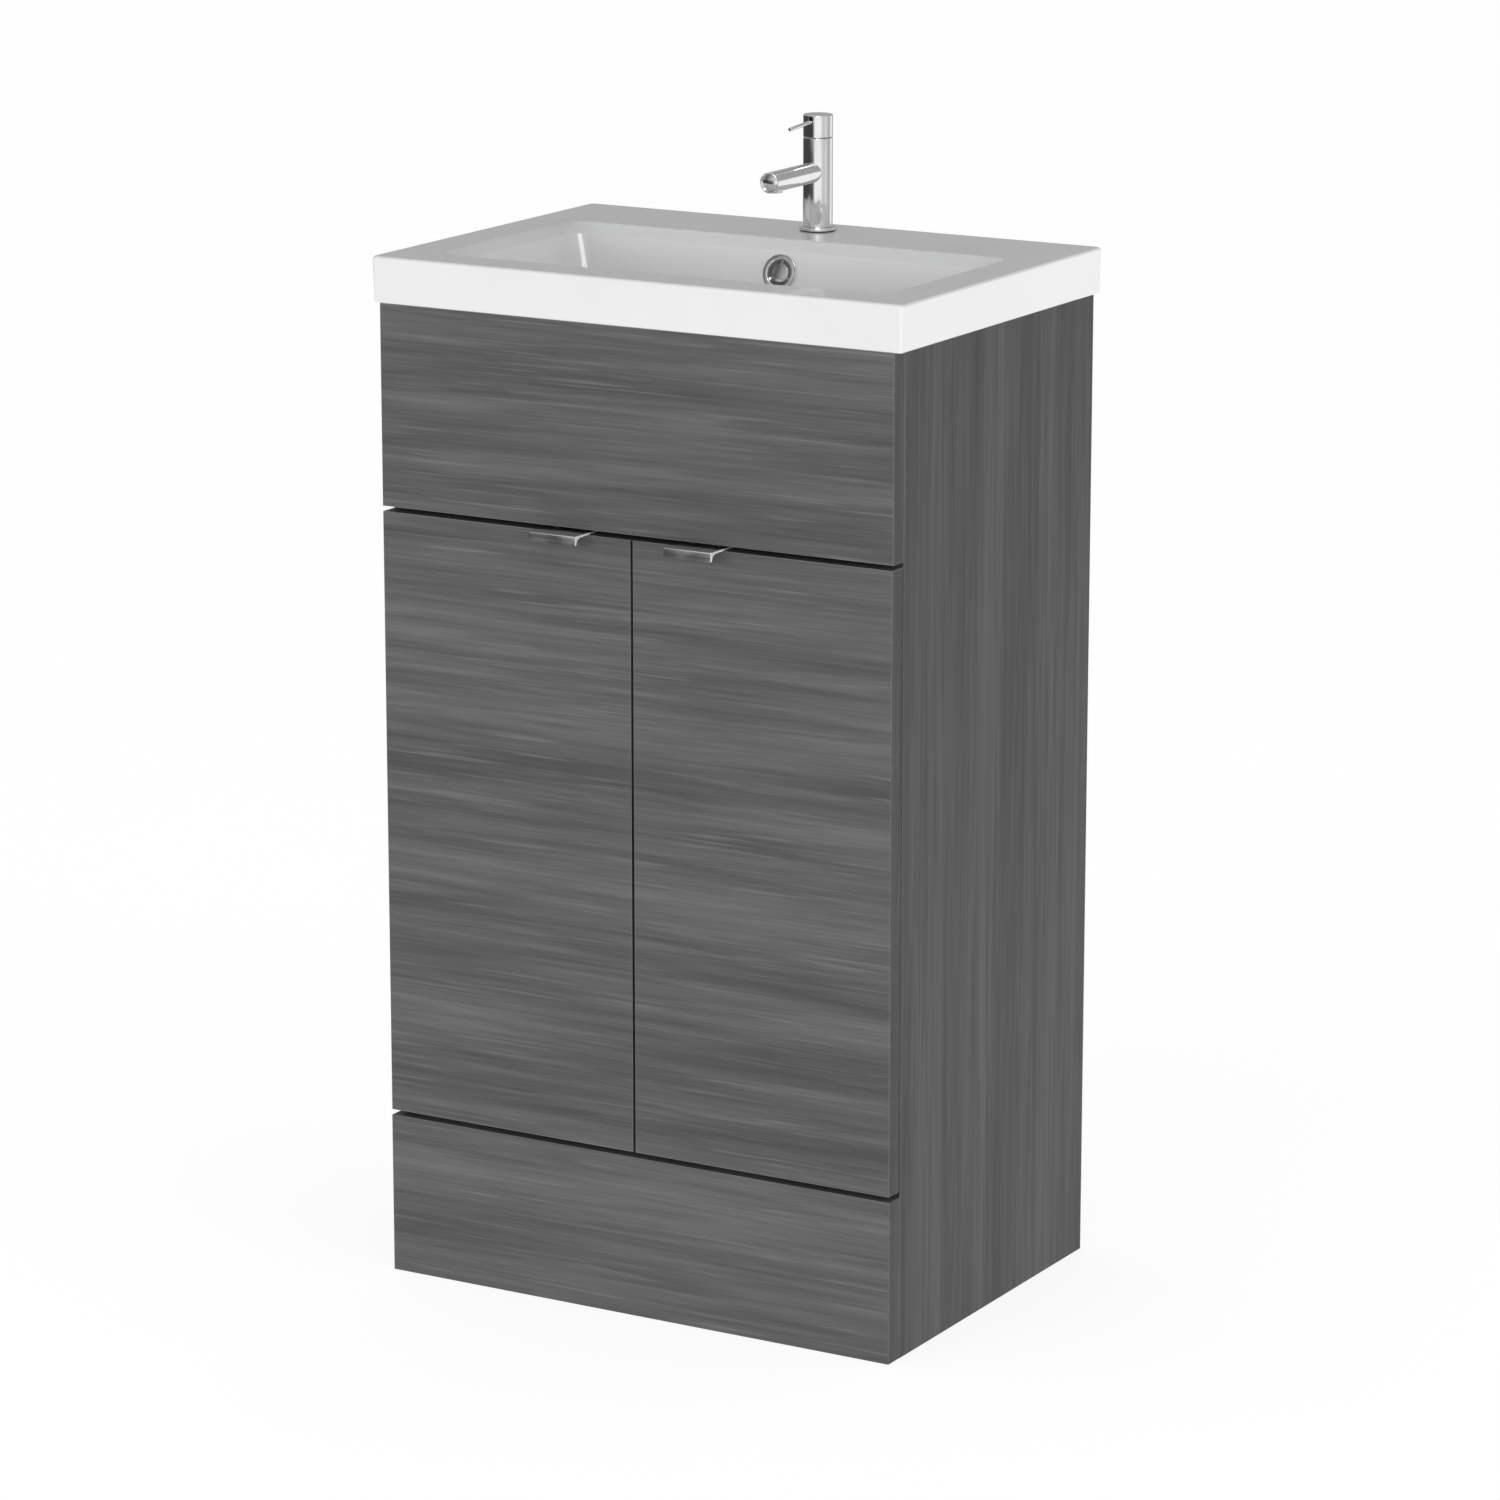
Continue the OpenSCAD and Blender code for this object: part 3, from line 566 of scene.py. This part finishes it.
def basin_rings(low, high):
    """Rings in mm from the underside, up the rim, down the bowl and back under it."""
    cx = (low.x + high.x) / 2
    wide, deep = (high.x - low.x) / 2, high.y - low.y
    deck, front = high.z, low.y
    slab = (cx, front + deep / 2)
    bowl = (cx, front + 150)
    under = deck - 40
    rings = []
    for z, inset in ((under, 1.3 + 0.8), (under + 0.8, 1.3)):
        rings.append(rounded_ring(slab, wide - inset, deep / 2 - inset * 0.5, 3, z))
    edge = 2.6
    for x, z in arc((wide - edge, deck - edge), edge, 0, 90, 6):
        off = wide - x
        rings.append(rounded_ring(slab, x, deep / 2 - off * 0.97, 4, z))
    rim_x, rim_y, corner, fillet = 216, 108, 14, 4.0
    for x, z in arc((fillet, deck - fillet), fillet, 90, 18, 7):
        rings.append(rounded_ring(bowl, rim_x + x - 0.2, rim_y + x - 0.2, corner + x, z))
    depths = [10, 20, 32, 44, 56, 62, 68, 74, 80, 86, 91, 95, 99, 102, 105, 107.5, 109.5, 111, 112]
    for depth in depths:
        inset = bowl_inset(depth)
        rings.append(rounded_ring(bowl, rim_x - inset, rim_y - inset, corner + 0.22 * depth,
                                  deck - depth))
    floor = deck - BOWL_DEPTH
    like = rings[-1]
    for radius, z in ((40, floor), (25, floor), (23.6, floor - 0.4), (23, floor - 1.5),
                      (23, floor - 43), (23.8, floor - 44), (35.2, floor - 44), (36, floor - 43)):
        rings.append(round_ring(bowl, radius, like, z))
    rings.append(round_ring(bowl, 36, like, floor - 14))
    rings.append(round_ring(bowl, 38, like, floor - 9.5))
    for depth in (112, 109, 104, 97, 88, 76, 60):
        inset = bowl_inset(depth) - 9.3
        rings.append(rounded_ring(bowl, rim_x - inset, rim_y - inset, corner + 9,
                                  deck - depth - 9 * (depth / BOWL_DEPTH) ** 2))
    inset = bowl_inset(42) - 9.3
    rings.append(rounded_ring(bowl, rim_x - inset, rim_y - inset, corner + 9, under))
    return rings


def basin_body(low, high):
    """The basin's skin, before its pockets and holes are cut."""
    work = bmesh.new()
    rings = [[work.verts.new(p * MM) for p in ring]
             for ring in basin_rings(low / MM, high / MM)]
    for a, b in zip(rings, rings[1:] + rings[:1]):
        for i in range(len(a)):
            j = (i + 1) % len(a)
            work.faces.new((a[i], a[j], b[j], b[i]))
    return new_object("basin_piece", work, 30)


def make_basin(materials):
    """The one-piece basin, with the overflow's duct behind the bowl."""
    low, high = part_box("basin")
    obj = basin_body(low, high)
    front, deck, cx = low.y, high.z, (low.x + high.x) / 2

    def at(x, y, z):
        return (cx + x * MM, front + y * MM, deck + z * MM)

    boolean(obj, block("pocket", at(-225, 267, -41), at(225, 339, -14)), "DIFFERENCE")
    for name, near, top in (("duct_top", 259, -12), ("duct_middle", 247, -50),
                            ("duct_low", 233, -86), ("duct_foot", 172, -119)):
        boolean(obj, block(name, at(-18, near, -148), at(18, 280, top)), "UNION")
    boolean(obj, block("duct_way", at(-12, 262, -142), at(12, 272, -14)), "DIFFERENCE")
    ring_low, ring_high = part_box("overflow_disc")
    centre = (ring_low + ring_high) / 2
    hole = lathe("hole", centre, OVERFLOW_AXIS, [(0, -26), (13, -26), (13, 14), (0, 14)], 64)
    boolean(obj, hole, "DIFFERENCE")
    tap_low, tap_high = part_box("tap_base_ring")
    tap = (tap_low + tap_high) / 2
    boolean(obj, lathe("tap_hole", tap, (0, 0, 1), [(0, -30), (14, -30), (14, 9), (0, 9)], 64),
            "DIFFERENCE")
    return place(even_shading(obj), "cabinet", ["basin"], "basin", materials)


# ---------------------------------------------------------------- overflow and waste

def overflow_centre():
    """Where the overflow's axis meets the bowl's wall."""
    low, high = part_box("overflow_disc")
    middle = (low + high) / 2
    return middle + Vector(OVERFLOW_AXIS) * 1.2 * MM


def make_overflow(materials):
    """The ring round the overflow hole, and the disc in it on three arms."""
    centre = overflow_centre()
    outline = [(11.4, -9), (12.9, -9), (12.9, 0)]
    outline += arc((15.3, 1.2), 1.2, -90, 60, 6)
    outline += arc((13.2, 0.2), 2.2, 60, 120, 5)
    outline += [(11.4, 0.9)]
    ring = lathe("overflow_ring_piece", centre, OVERFLOW_AXIS, outline)
    place(ring, "cabinet", ["overflow_ring"], "chrome", materials)
    face = [(0, -3.2), (3, -3.2), (3, -1.2)] + arc((7.3, -0.5), 0.7, -90, 60, 5)
    face += [(4.5, 0.55), (2.2, 0.74), (0, 0.8)]
    disc = lathe("overflow_disc_piece", centre, OVERFLOW_AXIS, face)
    arms = [prism(f"arm_{i}", centre + Vector(OVERFLOW_AXIS) * -2.1 * MM,
                  [(1, -1), (11.3, -1), (11.3, 1), (1, 1)], spoke_axes(120 * i + 30), 2.0 * MM)
            for i in range(3)]
    for arm in arms:
        boolean(disc, arm, "UNION")
    place(disc, "cabinet", ["overflow_disc"], "chrome", materials)


def spoke_axes(angle):
    u, v, w = frame_along(OVERFLOW_AXIS)
    a = math.radians(angle)
    out = u * math.cos(a) + v * math.sin(a)
    return out, w.cross(out), w


def make_waste(materials):
    """The domed push plug and its stem."""
    low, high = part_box("waste_plug")
    top = Vector(((low.x + high.x) / 2, (low.y + high.y) / 2, high.z))
    dome = [(0, -42), (3.2, -42), (4, -41.2), (4, -5), (29.4, -5), (30, -4.4)]
    dome += arc((27.6, -3.6), 2.4, 0, 62, 6)
    dome += [(22, -0.75), (14, -0.3), (7, -0.08), (0, 0)]
    plug = lathe("waste_plug_piece", top, (0, 0, 1), dome, 128)
    place(plug, "plug", ["waste_plug"], "chrome", materials)


# ---------------------------------------------------------------- tap

AXLE_HALF = 7.6             # mm from the lever's middle to each end of its axle
AXLE_RADIUS = 1.2
AXLE_BORE = 1.35            # radius of the holes in the cap's cheeks


def make_tap(materials):
    """Base ring, body and spout; then the turning cap and its lever."""
    low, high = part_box("tap_body")
    spout_low, spout_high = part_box("tap_spout")
    ring_low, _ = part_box("tap_base_ring")
    axis = Vector(((low.x + high.x) / 2, (low.y + high.y) / 2, 0))
    radius = (high.x - low.x) / 2 / MM
    deck = axis + Vector((0, 0, ring_low.z - MM))
    up = (0, 0, 1)

    ring = [(10.8, 1), (15.6, 1), (16, 1.4), (16, 2.6)]
    ring += arc((15.0, 2.6), 1.0, 0, 80, 6) + [(13.3, 3.95), (10.8, 3.95)]
    place(lathe("tap_base_ring_piece", deck, up, ring, 128),
          "cabinet", ["tap_base_ring"], "chrome", materials)

    body = [(0, 29), (10.8, 29), (10.8, 4), (radius - 0.4, 4), (radius, 4.4), (radius, 81.5)]
    body += arc((radius - 0.5, 81.5), 0.5, 0, 90, 4) + [(10.4, 82), (10.4, 61), (0, 61)]
    place(lathe("tap_body_piece", deck, up, body, 128),
          "cabinet", ["tap_body"], "chrome", materials)

    reach = (axis.y - spout_low.y) / MM
    spout = [(0, 9.5), (9, 9.5), (9, reach - 1.3)]
    spout += arc((7.8, reach - 1.3), 1.3, 0, 75, 6)
    spout += [(8.1, reach - 0.35), (7.9, reach - 1.5)]
    dome = 20.5
    spout += [(r, reach - 0.1 - dome + math.sqrt(dome ** 2 - r * r))
              for r in (7.7, 6, 4.5, 3, 1.5, 0)]
    start = Vector((axis.x, axis.y, (spout_low.z + spout_high.z) / 2))
    tube = lathe("tap_spout_piece", start, (0, -1, 0), spout, 96)
    outlet = start + Vector((0, -(reach - 12) * MM, 0))
    boolean(tube, lathe("outlet", outlet, (0, 0, -1), [(0, 4), (6.05, 4), (6.05, 14), (0, 14)], 64),
            "DIFFERENCE")
    place(tube, "cabinet", ["tap_spout"], "chrome", materials)

    make_cap(materials, deck, radius)
    make_lever(materials)


def make_cap(materials, deck, radius):
    """The turning cap, slotted in front for the lever, with two cheeks for its axle."""
    top = 102
    shell = [(10.6, 100.2), (10.6, 82.5), (radius - 0.4, 82.5), (radius, 82.9),
             (radius, top - 0.9)]
    shell += arc((radius - 0.9, top - 0.9), 0.9, 0, 90, 6) + [(0, top), (0, 100.2)]
    cap = lathe("tap_cap_piece", deck, (0, 0, 1), shell, 128)
    pivot = 97
    half = 2.15
    low = deck + Vector((-half * MM, -(radius + 2) * MM, (pivot - 2.6) * MM))
    high = deck + Vector((half * MM, -6.5 * MM, (pivot + 3.8) * MM))
    boolean(cap, block("slot", low, high), "DIFFERENCE")
    cheeks = [block(f"cheek_{side}", deck + Vector(((side * 6.4 - 2) * MM, -9 * MM, 93.8 * MM)),
                    deck + Vector(((side * 6.4 + 2) * MM, -3 * MM, 100.4 * MM)))
              for side in (-1, 1)]
    for cheek in cheeks:
        boolean(cap, cheek, "UNION")
    pivot_spot = deck + Vector((0, -6 * MM, pivot * MM))
    bore_half = AXLE_HALF + 0.2
    bore = [(0, -bore_half), (AXLE_BORE, -bore_half), (AXLE_BORE, bore_half), (0, bore_half)]
    boolean(cap, lathe("axle_bore", pivot_spot, (1, 0, 0), bore, 48), "DIFFERENCE")
    place(cap, "tap_turning_cap", ["tap_cap"], "chrome", materials)


def make_lever(materials):
    """A pin with a cross barrel that turns in the cap."""
    low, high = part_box("tap_lever")
    centre_x = (low.x + high.x) / 2
    _, cap_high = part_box("tap_cap")
    hub = Vector((centre_x, high.y - 2.6 * MM, cap_high.z - 5 * MM))
    tilt = math.radians(4)
    along = Vector((0, -math.cos(tilt), -math.sin(tilt)))
    reach = (hub.y - low.y) / MM - 0.15
    pin = [(0, 0), (1.75, 0), (1.75, reach - 0.6)]
    pin += arc((1.15, reach - 0.6), 0.6, 0, 90, 4) + [(0, reach)]
    lever = lathe("tap_lever_piece", hub, along, pin, 48)
    barrel = [(0, -AXLE_HALF), (AXLE_RADIUS, -AXLE_HALF), (AXLE_RADIUS, -3.6), (2.3, -3.6),
              (2.6, -3.3), (2.6, 3.3), (2.3, 3.6), (AXLE_RADIUS, 3.6), (AXLE_RADIUS, AXLE_HALF),
              (0, AXLE_HALF)]
    boolean(lever, lathe("barrel", hub, (1, 0, 0), barrel, 48), "UNION")
    place(lever, "tap_pin_lever", ["tap_lever"], "chrome", materials)


# ---------------------------------------------------------------- handles and screws

def make_handles(materials):
    """Folded strips: a flat tongue screwed on the door's top edge and a short lip in front."""
    for side in ("left", "right"):
        low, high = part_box(f"{side}_handle")
        size = (high - low) / MM
        origin = Vector(((low.x + high.x) / 2, low.y, high.z))
        bend = 1.2
        outline = arc((bend, -bend), bend, 180, 90, 6)
        outline += [(size.y - 0.25, 0), (size.y, -0.25), (size.y, -1.75), (size.y - 0.25, -2)]
        hook = size.z - 2.6
        outline += arc((1.6 + hook, -2 - hook), hook, 90, 180, 8)
        outline += [(1.6, -size.z), (0, -size.z)]
        handle = prism(f"{side}_handle_piece", origin, outline,
                       ((0, 1, 0), (0, 0, 1), (1, 0, 0)), size.x * MM, 28, 0.55)
        for screw_low, screw_high in islands(frame["nodes"][f"{side}_handle_screws"]):
            middle = (screw_low + screw_high) / 2
            middle.z = high.z
            cone = [(0, 0.5), (4.0, 0.5), (4.0, 0), (2.0, -2.0), (2.0, -3), (0, -3)]
            boolean(handle, lathe("countersink", middle, (0, 0, 1), cone, 48), "DIFFERENCE")
        place(handle, f"{side}_door", [f"{side}_handle"], "chrome", materials)
        handle.data.materials[0] = materials["satin"]
        handle.data.materials.append(materials["cut_end"])
        for face in handle.data.polygons:
            face.material_index = 1 if abs(face.normal.x) > 0.9 else 0


# ---------------------------------------------------------------- finish of the CAD nodes

def dress_nodes(materials):
    """Every CAD node gets the finish of its slot in the record."""
    slots = {part["node"]: part["material_slot"] for part in frame["record"]["subparts"]}
    for name, node in frame["nodes"].items():
        node.data.materials.clear()
        node.data.materials.append(materials[slots[name]])


BOARDS = ("left_side_panel", "right_side_panel", "top_front_panel", "plinth_panel",
          "left_door_panel", "right_door_panel", "bottom_panel", "shelf", "front_rail",
          "back_top_rail", "back_lower_rail")


def soften_nodes():
    """A small rounding on the sharp edges of every CAD node."""
    for name, node in frame["nodes"].items():
        if name in BOARDS:
            bevel(node, 0.0005, 2)
        else:
            bevel(node, 0.00025, 2)


# ---------------------------------------------------------------- stage

def floor_and_backdrop():
    """A pale floor that glows, so that it meets the white backdrop without a line."""
    work = bmesh.new()
    corners = [work.verts.new((x, y, 0)) for x, y in ((-30, -30), (30, -30), (30, 30), (-30, 30))]
    work.faces.new(corners)
    floor = new_object("studio_floor", work)
    material, g = new_material("studio_white")
    out = g.add("ShaderNodeOutputMaterial")
    both = g.add("ShaderNodeAddShader")
    diffuse = g.add("ShaderNodeBsdfDiffuse")
    glow = g.add("ShaderNodeEmission")
    tint = g.noise(g.coords((2, 2, 2)), 1, 1)
    g.join(g.ramp(tint, ((0.0, (0.30, 0.30, 0.30)), (1.0, (0.31, 0.31, 0.31)))),
           diffuse.inputs["Color"])
    g.set(glow, Color=(1, 1, 1, 1), Strength=0.825)
    g.join(diffuse.outputs[0], both.inputs[0])
    g.join(glow.outputs[0], both.inputs[1])
    g.join(both.outputs[0], out.inputs["Surface"])
    floor.data.materials.append(material)
    floor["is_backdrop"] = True


def studio_world():
    """Sky that is bright at the horizon and dimmer overhead."""
    world = bpy.data.worlds.new("studio")
    bpy.context.scene.world = world
    g = Graph(world)
    spot = g.add("ShaderNodeTexCoord")
    parts = g.add("ShaderNodeSeparateXYZ")
    g.join(spot.outputs["Generated"], parts.inputs[0])
    level = g.ramp(parts.outputs["Z"], (
        (0.0, (1.0, 1.0, 1.0)),
        (0.28, (1.0, 1.0, 1.0)),
        (0.62, (0.43, 0.43, 0.43)),
        (1.0, (0.37, 0.37, 0.37)),
    ))
    back = g.add("ShaderNodeBackground")
    g.set(back, Strength=1.0)
    g.join(level, back.inputs["Color"])
    out = g.add("ShaderNodeOutputWorld")
    g.join(back.outputs[0], out.inputs["Surface"])


def reflection_cards():
    """A ring of light and dark cards round the object. Only polished surfaces see it."""
    work = bmesh.new()
    steps, radius, height = 72, 2.3, 3.0
    rows = []
    for z in (0.0, height):
        rows.append([work.verts.new((radius * math.cos(2 * math.pi * i / steps),
                                     radius * math.sin(2 * math.pi * i / steps), z))
                     for i in range(steps)])
    work.faces.new(rows[1])
    for i in range(steps):
        j = (i + 1) % steps
        work.faces.new((rows[0][i], rows[0][j], rows[1][j], rows[1][i]))
    cards = new_object("reflection_cards", work)
    material, g = new_material("card_tones")
    parts = g.add("ShaderNodeSeparateXYZ")
    g.join(g.coords((1, 1, 1)), parts.inputs[0])
    turn = g.math("ARCTAN2", parts.outputs["Y"], parts.outputs["X"])
    around = g.math("FRACT", g.math("ADD", g.math("DIVIDE", turn, 2 * math.pi), 1.0))
    tones = g.ramp(around, card_stops())
    behind = g.ramp(around, ((0.0, (0.42,) * 3), (0.18, (0.38,) * 3), (0.55, (0.38,) * 3),
                             (0.63, (0.10,) * 3), (0.84, (1.0,) * 3), (1.0, (0.42,) * 3)))
    raised = g.spread(parts.outputs["Z"], 1.0, 1.25)
    glow = g.add("ShaderNodeEmission")
    overhead = g.spread(parts.outputs["Z"], 2.95, 2.99)
    walls = g.mix(raised, tones, behind)
    g.join(g.mix(overhead, walls, (0.62, 0.62, 0.62)), glow.inputs["Color"])
    g.join(roof_lamp(g, parts, overhead), glow.inputs["Strength"])
    out = g.add("ShaderNodeOutputMaterial")
    g.join(glow.outputs[0], out.inputs["Surface"])
    cards.data.materials.append(material)
    cards.visible_camera = False
    cards.visible_diffuse = False
    cards.visible_shadow = False
    cards.visible_transmission = False
    cards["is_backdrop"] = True


def roof_lamp(g, parts, overhead):
    """A narrow bright strip in the roof that runs out towards the photo's side."""
    turn = math.radians(PHOTO_YAW - 90)
    out, across = (math.cos(turn), math.sin(turn)), (-math.sin(turn), math.cos(turn))
    along = g.math("ADD", g.math("MULTIPLY", parts.outputs["X"], out[0]),
                   g.math("MULTIPLY", parts.outputs["Y"], out[1]))
    aside = g.math("ADD", g.math("MULTIPLY", parts.outputs["X"], across[0]),
                   g.math("MULTIPLY", parts.outputs["Y"], across[1]))
    strip = g.math("MULTIPLY", g.spread(g.math("ABSOLUTE", aside), 0.62, 0.40),
                   g.spread(along, 1.0, 1.3))
    return g.math("ADD", 1.0, g.math("MULTIPLY", g.math("MULTIPLY", strip, overhead), 11.0))


FRONT_TURN = 0.75 + PHOTO_YAW / 360


def card_stops():
    """Tones by their turn to the right of the photo's direction, as parts of a circle."""
    tones = ((-170, 0.30), (-140, 0.06), (-45, 0.045), (-34, 0.35), (-24, 1.0), (24, 1.0),
             (38, 0.62), (60, 0.80), (92, 0.46), (108, 0.50), (114, 1.0), (130, 1.0), (138, 0.46),
             (175, 0.42))
    stops = []
    for degrees, tone in tones:
        stops.append(((FRONT_TURN + degrees / 360) % 1.0, (tone,) * 3))
    return tuple(sorted(stops))


def area_light(name, spot, aim, size, power):
    """A rectangular softbox that faces its aim."""
    light = bpy.data.lights.new(name, "AREA")
    light.shape = "RECTANGLE"
    light.size, light.size_y = size
    light.energy = power
    obj = bpy.data.objects.new(name, light)
    obj.location = spot
    obj.rotation_euler = (Vector(aim) - Vector(spot)).to_track_quat("-Z", "Y").to_euler()
    bpy.context.scene.collection.objects.link(obj)


def camera():
    """The photo's direction and lens, on the object's own box."""
    low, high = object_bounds()
    target = (low + high) / 2 + Vector((0.0168, 0.0005, -0.033))
    yaw, pitch = math.radians(PHOTO_YAW), math.radians(PHOTO_PITCH)
    forward = Vector((-math.sin(yaw) * math.cos(pitch), math.cos(yaw) * math.cos(pitch),
                      -math.sin(pitch)))
    data = bpy.data.cameras.new("camera")
    data.lens, data.sensor_width = 139.75, 36
    data.dof.use_dof = False
    obj = bpy.data.objects.new("camera", data)
    obj.location = target - forward * 5.066
    obj.rotation_euler = forward.to_track_quat("-Z", "Y").to_euler()
    bpy.context.scene.collection.objects.link(obj)
    bpy.context.scene.camera = obj


def colour_management():
    """Plain colours, as in a catalogue photo."""
    scene = bpy.context.scene
    scene.view_settings.view_transform = "Standard"
    scene.view_settings.look = "None"
    scene.view_settings.exposure = 0
    scene.view_settings.gamma = 1


# ---------------------------------------------------------------- build

materials = slot_materials()
dress_nodes(materials)
soften_nodes()
make_basin(materials)
make_overflow(materials)
make_waste(materials)
make_tap(materials)
make_handles(materials)
reflection_cards()
floor_and_backdrop()
studio_world()
area_light("front_light", (-1.2, -4.5, 1.5), (0, 0, 0.5), (3, 1.1), 43)
area_light("side_light", (4.5, -0.8, 1.1), (0, 0, 0.5), (3, 2.4), 34)
camera()
colour_management()
